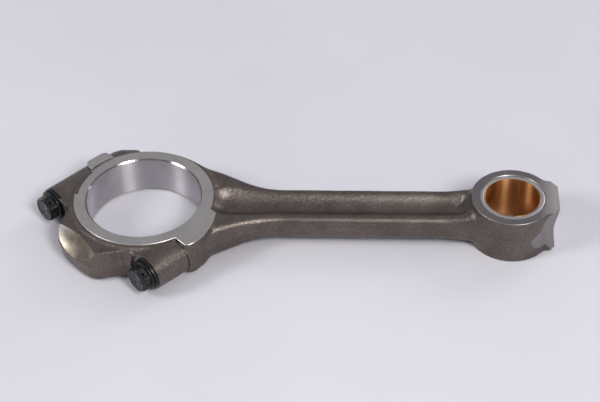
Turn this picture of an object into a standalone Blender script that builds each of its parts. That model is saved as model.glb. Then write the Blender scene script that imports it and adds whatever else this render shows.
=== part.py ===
"""Engine connecting rod with an obliquely split big end, lying flat with both bores upright.

The forged rod and its bearing cap meet on a serrated joint at 45 degrees to the shank, and two
flange-headed cap bolts on hardened washers hold them together. A steel-backed bronze bush sits in
the small end. +X runs from the big end to the small end and +Z along both bores.
"""

import math

import bmesh
import bpy
from mathutils import Matrix, Vector

MM = 0.001

# Driving dimensions, in millimetres.
CENTRE_DISTANCE = 266.0
BIG_BORE_RADIUS = 41.5
BIG_END_WIDTH = 30.0
THRUST_RING_RADIUS = 50.6
HUB_RADIUS = 52.5
HUB_WIDTH = 26.0
BORE_CHAMFER = 1.0

SMALL_END_WIDTH = 36.0
EYE_RADIUS = 29.5
EYE_BORE_RADIUS = 23.5
BUSH_BORE_RADIUS = 19.5
LINING_THICKNESS = 0.8
GAP = 0.3

SHANK_HALF_WIDTH = 17.7
SHANK_HALF_DEPTH = 9.9
SHANK_CORNER = 3.0
WEB_HALF_DEPTH = 3.9

SPLIT_ANGLE = math.radians(45.0)
JOINT_GAP = 0.36
TOOTH_PITCH = 2.5
TOOTH_HEIGHT = 1.0
PAD_RISE = 0.9
NEAR_LAND_DROP = 13.8
COLUMN_DRAFT = 0.5
NECK_RADIUS = 12.4
SPOT_FACE_RADIUS = 15.5
THREAD_DEPTH = 25.0
BOSS_RADIUS = 12.5

# The near bolt lies on side 1 of the bore and the far bolt on side -1.
NEAR, FAR = 1.0, -1.0
BOLT_OFFSET = {NEAR: 51.2, FAR: 53.6}
SEAT_DISTANCE = {NEAR: 38.4, FAR: 41.2}
COLUMN_RADIUS = {NEAR: 13.3, FAR: 12.7}
BOSS_NOSE = {
    NEAR: ((6.5, -32.0), (10.0, -29.0), (12.5, -23.5)),
    FAR: ((2.0, -38.5), (4.2, -36.8), (6.4, -32.8), (8.2, -29.4), (10.3, -25.0), (11.5, -20.5)),
}

CROWN_REACH = 66.8
CROWN_HALF_DEPTH = 12.5
SCOOP_RADIUS = 75.0
SCOOP_RIM_RADIUS = 30.0
RING_RELIEF_RADIUS = 48.4

BOLT_RADIUS = 6.0
BOLT_LENGTH = 64.0
BOLT_HOLE_RADIUS = 6.3
WASHER_RADIUS = 12.0
WASHER_THICKNESS = 2.5
HEX_ACROSS_FLATS = 17.0
COLLAR_RADIUS = 11.4
COLLAR_THICKNESS = 1.6
HEAD_HEIGHT = 8.5
WIRE_HOLE_RADIUS = 0.9

# Where the big end's centre lies, so that the whole part is centred over the origin.
ROD_ORIGIN = Vector((-109.0181, 5.1973, SMALL_END_WIDTH / 2.0))

WELD_DISTANCE = 0.01
ROUND_STEPS = 96
SMALL_STEPS = 48
HOLE_STEPS = 32


# ---------------------------------------------------------------- building blocks

def clear_scene():
    """Remove everything that is already in the scene."""
    for item in list(bpy.data.objects):
        bpy.data.objects.remove(item, do_unlink=True)


def make_object(name, mesh_data):
    """Turn a bmesh drawn in millimetres into an object in metres."""
    bmesh.ops.scale(mesh_data, vec=(MM, MM, MM), verts=mesh_data.verts)
    bmesh.ops.recalc_face_normals(mesh_data, faces=mesh_data.faces)
    mesh = bpy.data.meshes.new(name)
    mesh_data.to_mesh(mesh)
    mesh_data.free()
    item = bpy.data.objects.new(name, mesh)
    bpy.context.scene.collection.objects.link(item)
    return item


def loft(name, sections, ring=False):
    """Skin a row of closed loops; the ends are capped, or joined to each other in a ring."""
    shape = bmesh.new()
    loops = [[shape.verts.new(point) for point in section] for section in sections]
    pairs = list(zip(loops, loops[1:]))
    if ring:
        pairs.append((loops[-1], loops[0]))
    for first, second in pairs:
        count = len(first)
        for index in range(count):
            after = (index + 1) % count
            shape.faces.new((first[index], first[after], second[after], second[index]))
    if not ring:
        shape.faces.new(loops[0])
        shape.faces.new(loops[-1])
    return make_object(name, shape)


def prism(name, outline, low, high):
    """Extrude a closed outline in the plan view from one height to another."""
    return loft(name, [[(x, y, z) for x, y in outline] for z in (low, high)])


def disc(name, radius, low, high, centre=(0.0, 0.0), steps=ROUND_STEPS):
    """Make an upright cylinder."""
    return prism(name, arc_points(centre, radius, 0.0, 360.0, steps)[:-1], low, high)


def lathe(name, profile, steps=SMALL_STEPS, hollow=False):
    """Turn a profile of (radius, height) points about Z; a hollow profile is a closed loop."""
    sections = []
    for radius, height in profile:
        circle = arc_points((0.0, 0.0), radius, 0.0, 360.0, steps)[:-1]
        sections.append([(x, y, height) for x, y in circle])
    return loft(name, sections, hollow)


def arc_points(centre, radius, start, end, steps):
    """Points along an arc, with its angles in degrees."""
    points = []
    for index in range(steps + 1):
        angle = math.radians(start + (end - start) * index / steps)
        points.append((centre[0] + radius * math.cos(angle), centre[1] + radius * math.sin(angle)))
    return points


def combine(target, tool, operation):
    """Apply a Boolean of the tool to the target, then remove the tool."""
    modifier = target.modifiers.new(operation.lower(), "BOOLEAN")
    modifier.object = tool
    modifier.operation = operation
    modifier.solver = "EXACT"
    graph = bpy.context.evaluated_depsgraph_get()
    result = bpy.data.meshes.new_from_object(target.evaluated_get(graph))
    target.modifiers.clear()
    weld(result)
    target.data = result
    bpy.data.objects.remove(tool, do_unlink=True)
    return target


def weld(mesh):
    """Close up the shortest edges that a Boolean leaves."""
    shape = bmesh.new()
    shape.from_mesh(mesh)
    bmesh.ops.remove_doubles(shape, verts=shape.verts, dist=WELD_DISTANCE * MM)
    bmesh.ops.dissolve_degenerate(shape, dist=WELD_DISTANCE * MM, edges=shape.edges)
    shape.to_mesh(mesh)
    shape.free()


def add(target, *tools):
    """Join more solids to the target."""
    for tool in tools:
        combine(target, tool, "UNION")
    return target


def cut(target, *tools):
    """Take more solids away from the target."""
    for tool in tools:
        combine(target, tool, "DIFFERENCE")
    return target


def plan(along, across):
    """Turn a place along the bolts and across them into the rod's own X and Y."""
    x = along * math.cos(SPLIT_ANGLE) + across * math.sin(SPLIT_ANGLE)
    y = along * math.sin(SPLIT_ANGLE) - across * math.cos(SPLIT_ANGLE)
    return x, y


def bolt_matrix(side, distance=0.0):
    """Frame of a bolt: its Z runs out through the head, and its origin lies that far from the joint."""
    outward = Vector((-math.cos(SPLIT_ANGLE), -math.sin(SPLIT_ANGLE), 0.0))
    upward = Vector((0.0, 0.0, 1.0))
    sideways = outward.cross(upward)
    turn = Matrix((upward, sideways, outward)).transposed().to_4x4()
    x, y = plan(-distance, side * BOLT_OFFSET[side])
    return Matrix.Translation(Vector((x, y, 0.0)) * MM) @ turn


def on_bolt_axis(tool, side):
    """Move a tool drawn on the Z axis onto one bolt's axis."""
    tool.data.transform(bolt_matrix(side))
    return tool


def smooth_step(value, start, end):
    """Ease from 0 at start to 1 at end."""
    share = min(max((value - start) / (end - start), 0.0), 1.0)
    return share * share * (3.0 - 2.0 * share)


# ---------------------------------------------------------------- rod

def shank_half_width(x):
    """Half of the shank's width, with its flare towards the big end and the small end."""
    flare_slope = math.radians(25.2)
    flare_radius = 75.0
    flare_end = 102.5
    arc_start = flare_end - flare_radius * math.sin(flare_slope)
    if x < arc_start:
        rise = flare_radius * (1.0 - math.cos(flare_slope))
        return SHANK_HALF_WIDTH + rise + (arc_start - x) * math.tan(flare_slope)
    if x < flare_end:
        return SHANK_HALF_WIDTH + flare_radius - math.sqrt(flare_radius**2 - (flare_end - x)**2)
    neck_radius = 15.0
    neck_start = CENTRE_DISTANCE - 30.2
    if x > neck_start:
        reach = min(x - neck_start, 10.0)
        return SHANK_HALF_WIDTH + neck_radius - math.sqrt(neck_radius**2 - reach**2)
    return SHANK_HALF_WIDTH


def shank_half_depth(x):
    """Half of the shank's depth, which grows into both ends."""
    big_end_growth = 2.9 * (1.0 - smooth_step(x, 52.0, 92.0))
    small_end_growth = 2.6 * smooth_step(x, 214.0, 244.0)
    return SHANK_HALF_DEPTH + big_end_growth + small_end_growth


def rounded_section(x, half_width, half_depth):
    """Cross-section of the shank as a rectangle with rounded corners."""
    corners = ((1, 1, 0.0), (-1, 1, 90.0), (-1, -1, 180.0), (1, -1, 270.0))
    section = []
    for side, level, start in corners:
        centre = (side * (half_width - SHANK_CORNER), level * (half_depth - SHANK_CORNER))
        section += [(x, y, z) for y, z in arc_points(centre, SHANK_CORNER, start, start + 90.0, 3)]
    return section


def shank():
    """The shank as one loft, reaching into both ends."""
    stations = [22.0, 45.0, 60.0] + [70.0 + 4.0 * step for step in range(9)]
    stations += [214.0, 222.0, 230.0, 235.8, 239.0, 242.0, 245.8, 262.0]
    sections = [rounded_section(x, shank_half_width(x), shank_half_depth(x)) for x in stations]
    return loft("shank", sections)


def channel(level):
    """Cutter for the long channel in one face of the shank, spoon-shaped at the big end."""
    start, wide, end = 47.0, 62.0, 234.0
    stations = [start + 0.05, 48.0, 50.0, 53.0, 57.0, wide, 68.0, 75.0, 83.0, 92.0, 102.0]
    stations += [222.0, 226.0, 229.0, 231.5, 233.2, end - 0.05]
    sections = []
    for x in stations:
        half_width = 9.9 + 3.7 * (1.0 - smooth_step(x, wide, 98.0))
        fade = 1.0
        if x < wide:
            fade = math.sqrt(1.0 - ((wide - x) / (wide - start))**2)
        if x > 222.0:
            fade = math.sqrt(1.0 - ((x - 222.0) / (end - 222.0))**2)
        top = shank_half_depth(x) + 0.2
        floor = top - (top - WEB_HALF_DEPTH) * fade
        trough = []
        for step in range(9):
            angle = math.pi * step / 8.0
            side = half_width * fade * math.copysign(abs(math.cos(angle))**0.75, math.cos(angle))
            trough.append((x, side, level * (top - (top - floor) * math.sin(angle)**0.75)))
        rim = half_width * fade
        trough += [(x, -rim, level * 22.0), (x, rim, level * 22.0)]
        sections.append(trough)
    return loft("channel", sections)


def small_end():
    """The eye, with its balance boss beyond it."""
    centre = (CENTRE_DISTANCE, 0.0)
    half = SMALL_END_WIDTH / 2.0
    eye = disc("eye", EYE_RADIUS, -half, half, centre)
    outline = [(5.0, -18.0), (28.5, -17.5), (33.0, -12.5), (33.0, 11.5), (28.0, 17.5), (5.0, 18.0)]
    boss = prism("boss", [(CENTRE_DISTANCE + x, y) for x, y in outline], -half, half)
    scoop = lathe("scoop", [(26.5, -30.0), (26.5, 30.0)], ROUND_STEPS)
    scoop.data.transform(Matrix.Rotation(math.radians(90.0), 4, "X"))
    scoop.data.transform(Matrix.Translation(Vector((CENTRE_DISTANCE + 56.3, 0.0, -1.5)) * MM))
    return add(eye, cut(boss, scoop))


def land(side, ends, low, high):
    """Flat land beside the big-end joint, shared by the rod and the cap."""
    return prism("land", [plan(along, side * across) for along, across in ends], low, high)


NEAR_LAND = (
    (-11.0, 42.0), (-11.0, 59.5), (-8.5, 62.0), (-4.0, 62.8), (5.0, 61.6),
    (14.0, 58.2), (20.0, 54.5), (26.5, 49.5), (26.5, 36.0),
)
FAR_LAND = (
    (-9.4, 42.0), (-9.1, 53.0), (-8.3, 56.7), (-6.8, 58.6), (-5.0, 59.3),
    (7.4, 59.3), (10.1, 57.8), (11.1, 54.6), (11.0, 42.0),
)


def far_pad():
    """Raised top of the far land, turned away inside the thrust ring."""
    high = BIG_END_WIDTH / 2.0
    pad = land(FAR, FAR_LAND, 0.0, high + PAD_RISE)
    return cut(pad, disc("ring_sweep", THRUST_RING_RADIUS, high, high + 5.0))


def big_end_lands():
    """Everything beside the joint that the rod and the cap share before they are split."""
    half = BIG_END_WIDTH / 2.0
    lands = land(NEAR, NEAR_LAND, -NEAR_LAND_DROP, half)
    add(lands, land(FAR, FAR_LAND, -half, half), far_pad())
    for side in (NEAR, FAR):
        core = lathe("core", [(NECK_RADIUS, -12.0), (NECK_RADIUS, 12.0)])
        add(lands, on_bolt_axis(core, side))
    return lands


def thread_boss(side):
    """Forged boss round one blind thread in the rod, rounded off at its far end."""
    profile = [*BOSS_NOSE[side], (BOSS_RADIUS, -5.0)]
    return on_bolt_axis(lathe("thread_boss", profile), side)


def joint_half(name, offset, towards_cap):
    """Block on one side of the serrated joint, used to cut the other side away."""
    reach = 75.0
    teeth = int(2 * reach / TOOTH_PITCH)
    edge = []
    for index in range(2 * teeth + 1):
        across = -reach + index * TOOTH_PITCH / 2.0
        along = offset + TOOTH_HEIGHT * (index % 2 - 0.5)
        edge.append(plan(along, across))
    limit = -110.0 if towards_cap else 110.0
    corners = [plan(limit, reach), plan(limit, -reach)]
    return prism(name, edge + corners, -40.0, 40.0)


def big_bore():
    """Cutter for the big-end bore and the chamfers at both its edges."""
    half = BIG_END_WIDTH / 2.0
    wide = BIG_BORE_RADIUS + BORE_CHAMFER
    far = half + 10.0
    profile = [(wide, -far), (wide, -half), (BIG_BORE_RADIUS, BORE_CHAMFER - half)]
    profile += [(radius, -height) for radius, height in reversed(profile)]
    return lathe("big_bore", profile, ROUND_STEPS)


def bolt_hole(side, low, high):
    """Plain hole for one cap bolt."""
    hole = lathe("bolt_hole", [(BOLT_HOLE_RADIUS, low), (BOLT_HOLE_RADIUS, high)], HOLE_STEPS)
    return on_bolt_axis(hole, side)


def rod_body():
    """The forged rod: half of the big end, the shank with its channels, and the small end."""
    half = BIG_END_WIDTH / 2.0
    body = disc("rod_body", HUB_RADIUS, -HUB_WIDTH / 2.0, HUB_WIDTH / 2.0)
    add(body, shank(), small_end(), thread_boss(NEAR), thread_boss(FAR))
    cut(body, channel(1.0), channel(-1.0))
    add(body, disc("thrust_ring", THRUST_RING_RADIUS, -half, half), big_end_lands())
    cut(body, joint_half("cap_side", JOINT_GAP / 2.0, True), big_bore())
    cut(body, bolt_hole(NEAR, -THREAD_DEPTH, 20.0), bolt_hole(FAR, -THREAD_DEPTH, 20.0))
    bore = disc("eye_bore", EYE_BORE_RADIUS, -30.0, 30.0, (CENTRE_DISTANCE, 0.0))
    return cut(body, bore)


# ---------------------------------------------------------------- bearing cap

def crown():
    """The cap's crown, widest at mid-depth, with one scooped grinding face."""
    flank = [(-30.0, 38.5), (-41.0, 35.0), (-46.0, 32.3), (-55.0, 26.5), (-60.5, 23.0)]
    flank += [(-63.3, 20.6), (-65.2, 16.5)]
    arc = [(across**2 / 175.0 - CROWN_REACH, across) for across in (11.0, 5.5, 0.0, -5.5, -11.0)]
    mirrored = [(along, -across) for along, across in reversed(flank)]
    sections = []
    for height, taper in ((-CROWN_HALF_DEPTH, 0.978), (0.0, 1.0), (CROWN_HALF_DEPTH, 0.978)):
        outline = [plan(taper * along, taper * across) for along, across in flank + arc + mirrored]
        sections.append([(x, y, height) for x, y in outline])
    return cut(loft("crown", sections), scoop())


def scoop():
    """Round-rimmed wheel that grinds the hollow across the crown's upper edge."""
    profile = []
    for offset in (-20.0, -14.0, -9.0, -4.5, 0.0, 4.5, 9.0, 14.0, 20.0):
        rim = math.sqrt(SCOOP_RIM_RADIUS**2 - offset**2) - SCOOP_RIM_RADIUS
        profile.append((SCOOP_RADIUS + rim, offset))
    wheel = lathe("scoop", profile, 144)
    slope = math.radians(52.0)
    outward = Vector((*plan(-1.0, 0.0), 0.0))
    upward = Vector((0.0, 0.0, 1.0))
    across_chord = outward * math.sin(slope) + upward * math.cos(slope)
    down_chord = outward * math.cos(slope) - upward * math.sin(slope)
    lowest = Vector((*plan(-61.8, -3.0), 6.25)) - across_chord
    wheel.data.transform(down_chord.to_track_quat("Z", "Y").to_matrix().to_4x4())
    wheel.data.transform(Matrix.Translation((lowest + across_chord * SCOOP_RADIUS) * MM))
    return wheel


def cap_thrust_ring():
    """Thrust ring of the cap, narrowed above the far column."""
    half = BIG_END_WIDTH / 2.0
    ring = disc("thrust_ring", THRUST_RING_RADIUS, -half, half)
    start, end = 147.0, 177.4
    outline = arc_points((0.0, 0.0), RING_RELIEF_RADIUS, start, end, 10)
    outline += arc_points((0.0, 0.0), HUB_RADIUS + 8.0, end, start, 10)
    return cut(ring, prism("ring_relief", outline, HUB_WIDTH / 2.0 - 1.0, half + 1.0))


def column(side):
    """Forged column round one bolt, necked beside the joint land and running out to the bolt seat."""
    end = SEAT_DISTANCE[side] + 2.0
    neck = NECK_RADIUS - 0.6 if side == FAR else NECK_RADIUS
    profile = [(neck, 5.0), (neck, 12.4), (COLUMN_RADIUS[side], 13.1), (COLUMN_RADIUS[side] - COLUMN_DRAFT, end)]
    body = on_bolt_axis(lathe("column", profile), side)
    web = [(-1.0, 30.0), (-1.0, 51.0), (1.0 - end, 51.0), (1.0 - end, 30.0)]
    return add(body, land(side, web, -11.6, 11.6))


def spot_face(side):
    """Cutter that clears the bolt head and leaves a flat seat for its washer."""
    cutter = lathe("spot_face", [(SPOT_FACE_RADIUS, SEAT_DISTANCE[side]), (SPOT_FACE_RADIUS, 90.0)], 64)
    return on_bolt_axis(cutter, side)


def bearing_cap():
    """The forged bearing cap with its bolt columns, spot faces and half of the bore."""
    body = disc("bearing_cap", HUB_RADIUS, -HUB_WIDTH / 2.0, HUB_WIDTH / 2.0)
    add(body, crown(), column(NEAR), column(FAR))
    add(body, cap_thrust_ring(), big_end_lands())
    cut(body, joint_half("rod_side", -JOINT_GAP / 2.0, False), big_bore())
    cut(body, spot_face(NEAR), spot_face(FAR))
    return cut(body, bolt_hole(NEAR, -20.0, 60.0), bolt_hole(FAR, -20.0, 60.0))


# ---------------------------------------------------------------- bush, bolts and washers

def tube(name, inner, outer, half_length, chamfer):
    """Round tube with chamfered ends."""
    end = half_length - chamfer
    profile = [(inner, -end), (inner + chamfer, -half_length), (outer - chamfer, -half_length)]
    profile += [(outer, -end), (outer, end), (outer - chamfer, half_length)]
    profile += [(inner + chamfer, half_length), (inner, end)]
    return lathe(name, profile, ROUND_STEPS, hollow=True)


def bush_backing():
    """Steel backing of the small-end bush."""
    inner = BUSH_BORE_RADIUS + LINING_THICKNESS + GAP
    return tube("small_end_bush_backing", inner, EYE_BORE_RADIUS - GAP, SMALL_END_WIDTH / 2.0 - 0.4, 0.5)


def bush_lining():
    """Bronze lining of the small-end bush."""
    outer = BUSH_BORE_RADIUS + LINING_THICKNESS
    return tube("small_end_bush_lining", BUSH_BORE_RADIUS, outer, SMALL_END_WIDTH / 2.0 - 0.6, 0.2)


def washer(name):
    """Hardened round washer under a bolt head, drawn from the seat outwards."""
    low = GAP
    high = WASHER_THICKNESS
    inner = BOLT_RADIUS + 0.5
    profile = [(inner, low), (WASHER_RADIUS, low), (WASHER_RADIUS, high - 0.5)]
    profile += [(WASHER_RADIUS - 0.5, high), (inner, high)]
    return lathe(name, profile, hollow=True)


def hexagon_head():
    """Hexagon of the bolt head, chamfered at its free end, with a locking-wire hole in each flat."""
    base = WASHER_THICKNESS + GAP
    top = base + HEAD_HEIGHT
    corner = HEX_ACROSS_FLATS / math.sqrt(3.0)
    head = prism("head", arc_points((0.0, 0.0), corner, 0.0, 360.0, 6)[:-1], base + 0.6, top)
    profile = [(corner + 1.0, base), (corner + 1.0, top - 1.7), (corner - 1.6, top + 0.1)]
    cone = lathe("cone", profile)
    cone.data.transform(Matrix.Rotation(math.radians(1.7), 4, "Z"))
    combine(head, cone, "INTERSECT")
    for index in range(6):
        hole = lathe("wire_hole", [(WIRE_HOLE_RADIUS, 5.6), (WIRE_HOLE_RADIUS, 15.0)], 12)
        hole.data.transform(Matrix.Rotation(math.radians(90.0), 4, "X"))
        hole.data.transform(Matrix.Rotation(math.radians(60.0 * index), 4, "Z"))
        hole.data.transform(Matrix.Translation(Vector((0.0, 0.0, base + 5.4)) * MM))
        cut(head, hole)
    return cut(head, lathe("recess", [(4.6, top - 0.8), (5.2, top + 1.0)]))


def cap_bolt(name):
    """Cap bolt with a plain thread length, a collar and a hexagon head, drawn from the seat outwards."""
    base = WASHER_THICKNESS + GAP
    tip = base - BOLT_LENGTH
    waist = BOLT_RADIUS - 0.7
    profile = [(BOLT_RADIUS - 1.2, tip), (BOLT_RADIUS, tip + 1.2)]
    profile += [(BOLT_RADIUS, tip + 21.5), (waist, tip + 23.5), (waist, base - 10.0), (BOLT_RADIUS, base - 8.0)]
    profile += [(BOLT_RADIUS, base), (COLLAR_RADIUS, base), (COLLAR_RADIUS, base + COLLAR_THICKNESS - 0.4)]
    profile += [(COLLAR_RADIUS - 0.4, base + COLLAR_THICKNESS)]
    return add(lathe(name, profile), hexagon_head())


# ---------------------------------------------------------------- materials and placing

def material(name, colour, roughness, metallic):
    """Principled material with one flat colour."""
    made = bpy.data.materials.new(name)
    made.use_nodes = True
    shader = made.node_tree.nodes["Principled BSDF"]
    shader.inputs["Base Color"].default_value = (*colour, 1.0)
    shader.inputs["Roughness"].default_value = roughness
    shader.inputs["Metallic"].default_value = metallic
    return made


def place(item, look, matrix=Matrix.Identity(4)):
    """Give a finished piece its material and its place in the rod."""
    item.data.materials.clear()
    item.data.materials.append(look)
    item.matrix_world = Matrix.Translation(ROD_ORIGIN * MM) @ matrix
    for face in item.data.polygons:
        face.use_smooth = True
    item.data.set_sharp_from_angle(angle=math.radians(30.0))


def build():
    """Build every piece of the connecting rod."""
    clear_scene()
    place(rod_body(), material("forged_steel_rod", (0.13, 0.11, 0.095), 0.5, 0.8))
    place(bearing_cap(), material("forged_steel_cap", (0.12, 0.10, 0.09), 0.5, 0.8))
    eye_centre = Matrix.Translation(Vector((CENTRE_DISTANCE, 0.0, 0.0)) * MM)
    place(bush_backing(), material("bush_steel", (0.42, 0.42, 0.42), 0.3, 1.0), eye_centre)
    place(bush_lining(), material("bush_bronze", (0.55, 0.27, 0.10), 0.28, 1.0), eye_centre)
    for side, label in ((NEAR, "near"), (FAR, "far")):
        frame = bolt_matrix(side, SEAT_DISTANCE[side])
        washer_look = material(f"washer_steel_{label}", (0.02, 0.02, 0.022), 0.4, 0.7)
        bolt_look = material(f"bolt_steel_{label}", (0.015, 0.015, 0.017), 0.4, 0.7)
        place(washer(f"bolt_washer_{label}"), washer_look, frame)
        place(cap_bolt(f"cap_bolt_{label}"), bolt_look, frame)


build()
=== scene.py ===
"""Finished look of a connecting rod: forged rod and cap, bush, bolts, washers, floor, lights, camera."""

import math

import bmesh
import bpy
import numpy as np
from mathutils import Matrix, Vector


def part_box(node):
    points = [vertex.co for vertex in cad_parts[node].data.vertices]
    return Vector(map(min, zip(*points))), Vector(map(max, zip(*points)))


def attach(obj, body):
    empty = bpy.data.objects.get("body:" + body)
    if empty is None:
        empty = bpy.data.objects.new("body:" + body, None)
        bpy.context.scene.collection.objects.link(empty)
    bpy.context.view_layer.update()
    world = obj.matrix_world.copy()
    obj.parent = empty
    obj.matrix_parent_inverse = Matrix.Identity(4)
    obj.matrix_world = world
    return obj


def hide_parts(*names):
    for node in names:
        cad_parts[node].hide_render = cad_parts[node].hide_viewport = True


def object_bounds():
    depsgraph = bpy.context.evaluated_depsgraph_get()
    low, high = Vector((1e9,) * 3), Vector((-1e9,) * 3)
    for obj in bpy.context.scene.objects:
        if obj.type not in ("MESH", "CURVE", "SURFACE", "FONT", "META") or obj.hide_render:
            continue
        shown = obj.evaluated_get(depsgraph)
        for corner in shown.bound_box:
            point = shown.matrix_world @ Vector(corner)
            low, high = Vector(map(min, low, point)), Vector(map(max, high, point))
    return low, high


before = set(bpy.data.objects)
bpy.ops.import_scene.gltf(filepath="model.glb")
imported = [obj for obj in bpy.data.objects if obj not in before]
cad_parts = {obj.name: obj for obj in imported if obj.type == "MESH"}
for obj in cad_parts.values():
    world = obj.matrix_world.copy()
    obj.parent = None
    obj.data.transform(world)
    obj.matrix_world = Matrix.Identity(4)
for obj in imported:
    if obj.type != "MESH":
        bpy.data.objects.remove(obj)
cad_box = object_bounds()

MM = 0.001
GRID_STEP = 0.75

# The rod's own dimensions, in millimetres, about the big end's centre at mid-depth. Bores, rings and
# the like are given by their radius, and HALF is half of a depth along the bores.
CENTRE_DISTANCE = 266.0
BIG_BORE = 41.5
BIG_HALF = 15.0
RING = 50.6
HUB = 52.5
HUB_HALF = 13.7
SMALL_HALF = 18.0
EYE = 29.5
EYE_BORE = 23.5
BUSH_BORE = 19.5
LINING = 0.8
SHANK_WIDTH = 17.7
SHANK_DEPTH = 9.9
WEB = 3.9
JOINT_GAP = 0.06
TOOTH_PITCH = 2.5
TOOTH_HEIGHT = 1.0
DIAGONAL = math.sqrt(0.5)

# The near bolt lies on side 1 of the bore and the far bolt on side -1. A seat is the distance of a
# bolt head's seat from the joint, and a column is the part of the cap round one bolt.
NEAR, FAR = 1.0, -1.0
BOLT_OFFSET = {NEAR: 51.2, FAR: 53.6}
SEAT = {NEAR: 38.4, FAR: 41.2}
COLUMN = {NEAR: 13.3, FAR: 12.7}

# The bolts and washers, in millimetres outwards from the seat.
WASHER_TOP = 2.5
HEAD_BASE = 2.8
HEAD_TOP = 11.3
BOLT_TIP = HEAD_BASE - 64.0
ACROSS_FLATS = 17.0
THREAD_PITCH = 1.5
THREAD_ROOT = 5.1
THREAD_HEIGHT = 0.85
PILOT = 5.95

# The forging before it is machined.
FORGING_LOW, FORGING_HIGH = (-84.0, -80.0, -21.0), (303.0, 76.0, 21.0)
EYE_BLANK_HALF = 20.0
CROWN_HALF = 12.5
LAND_TOP, LAND_BOTTOM = 13.4, -13.6
SEAT_STOCK = 3.0
BIG_SKIN_LIMIT = 14.4
BIG_SKIN_END = 120.0
PARTING_RIDGE = 0.36
PARTING_HALF_WIDTH = 0.85
RIPPLE = 0.05

# Facets round a full turn.
BIG_STEPS = 256
EYE_STEPS = 192
BOLT_STEPS = 128

eye_low, eye_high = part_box("small_end_bush_lining")
ORIGIN = (eye_low + eye_high) / 2.0 - Vector((CENTRE_DISTANCE * MM, 0.0, 0.0))


# ---------------------------------------------------------------- flat geometry

def plan(along, across):
    """Point in the rod's plane from its distances along and across the bolts."""
    return (DIAGONAL * (along + across), DIAGONAL * (along - across))


def arc(centre, radius, start, end, steps):
    """Points along an arc, with its angles in degrees."""
    angles = [math.radians(start + (end - start) * i / steps) for i in range(steps + 1)]
    return [(centre[0] + radius * math.cos(a), centre[1] + radius * math.sin(a)) for a in angles]


def inset(outline, distance):
    """Outline moved inwards by a distance, for an outline that runs anticlockwise."""
    moved = []
    count = len(outline)
    area = sum(outline[i - 1][0] * outline[i][1] - outline[i][0] * outline[i - 1][1] for i in range(count))
    turn = 1.0 if area > 0 else -1.0
    for i in range(count):
        before, here, after = (Vector(outline[j % count]) for j in (i - 1, i, i + 1))
        first = (here - before).normalized()
        second = (after - here).normalized()
        normal_a = Vector((-first.y, first.x)) * turn
        normal_b = Vector((-second.y, second.x)) * turn
        middle = (normal_a + normal_b).normalized()
        here = here + middle * distance / max(middle.dot(normal_a), 0.35)
        moved.append((here.x, here.y))
    return moved


# ---------------------------------------------------------------- mesh building

def new_object(name, points, faces, look=None):
    """Object from points in millimetres, placed in the rod's frame by finish_piece."""
    mesh = bpy.data.meshes.new(name)
    mesh.from_pydata([tuple(p) for p in points], [], faces)
    mesh.update()
    made = bpy.data.objects.new(name, mesh)
    bpy.context.scene.collection.objects.link(made)
    if look:
        mesh.materials.append(look)
    return made


def face_out(item):
    """Turn every face of a closed mesh outwards."""
    work = bmesh.new()
    work.from_mesh(item.data)
    bmesh.ops.recalc_face_normals(work, faces=work.faces)
    work.to_mesh(item.data)
    work.free()
    return item


def loft(name, sections, look=None, ring=False):
    """Closed solid through sections of equally many points, capped at its ends unless it is a ring."""
    count = len(sections[0])
    points = [p for section in sections for p in section]
    faces = []
    for level in range(len(sections) if ring else len(sections) - 1):
        low = level * count
        high = (level + 1) % len(sections) * count
        for i in range(count):
            j = (i + 1) % count
            faces.append((low + i, low + j, high + j, high + i))
    if not ring:
        faces.append(tuple(range(count)))
        faces.append(tuple(range(len(points) - count, len(points))))
    return face_out(new_object(name, points, faces, look))


def prism(name, outline, low, high, look=None, chamfer=0.0):
    """Upright prism with an optional chamfer round both ends."""
    levels = [(0.0, low), (0.0, high)]
    if chamfer:
        levels = [(chamfer, low), (0.0, low + chamfer), (0.0, high - chamfer), (chamfer, high)]
    sections = [[(x, y, z) for x, y in (inset(outline, step) if step else outline)] for step, z in levels]
    return loft(name, sections, look)


def lathe(name, profile, steps, look=None, hollow=False):
    """Solid of revolution about Z through (radius, height) points."""
    turns = [2.0 * math.pi * i / steps for i in range(steps)]
    sections = [[(r * math.cos(a), r * math.sin(a), z) for a in turns] for r, z in profile]
    return loft(name, sections, look, ring=hollow)


def moved(item, matrix):
    """Item with its mesh moved by a matrix in millimetres."""
    item.data.transform(matrix)
    return item


def bolt_frame(side, distance=0.0):
    """Frame on one bolt's axis, that far from the joint: Z points out of the head and X points up."""
    x, y = plan(-distance, side * BOLT_OFFSET[side])
    outward = Vector((-DIAGONAL, -DIAGONAL, 0.0))
    upward = Vector((0.0, 0.0, 1.0))
    sideways = outward.cross(upward)
    matrix = Matrix((upward, sideways, outward)).transposed().to_4x4()
    matrix.translation = (x, y, 0.0)
    return matrix


def combine(target, tool, operation):
    """Join, cut or intersect target with tool, which is used up. Cut faces keep the tool's material."""
    change = target.modifiers.new("boolean", "BOOLEAN")
    change.object = tool
    change.operation = operation
    change.solver = "MANIFOLD"
    change.material_mode = "TRANSFER"
    with bpy.context.temp_override(object=target, active_object=target):
        bpy.ops.object.modifier_apply(modifier=change.name)
    bpy.data.objects.remove(tool)
    return target


def add(target, *tools):
    for tool in tools:
        combine(target, tool, "UNION")
    return target


def cut(target, *tools):
    for tool in tools:
        combine(target, tool, "DIFFERENCE")
    return target


# ---------------------------------------------------------------- forging as a distance field

def smooth_step(value, start, end):
    share = np.clip((value - start) / (end - start), 0.0, 1.0)
    return share * share * (3.0 - 2.0 * share)


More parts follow.
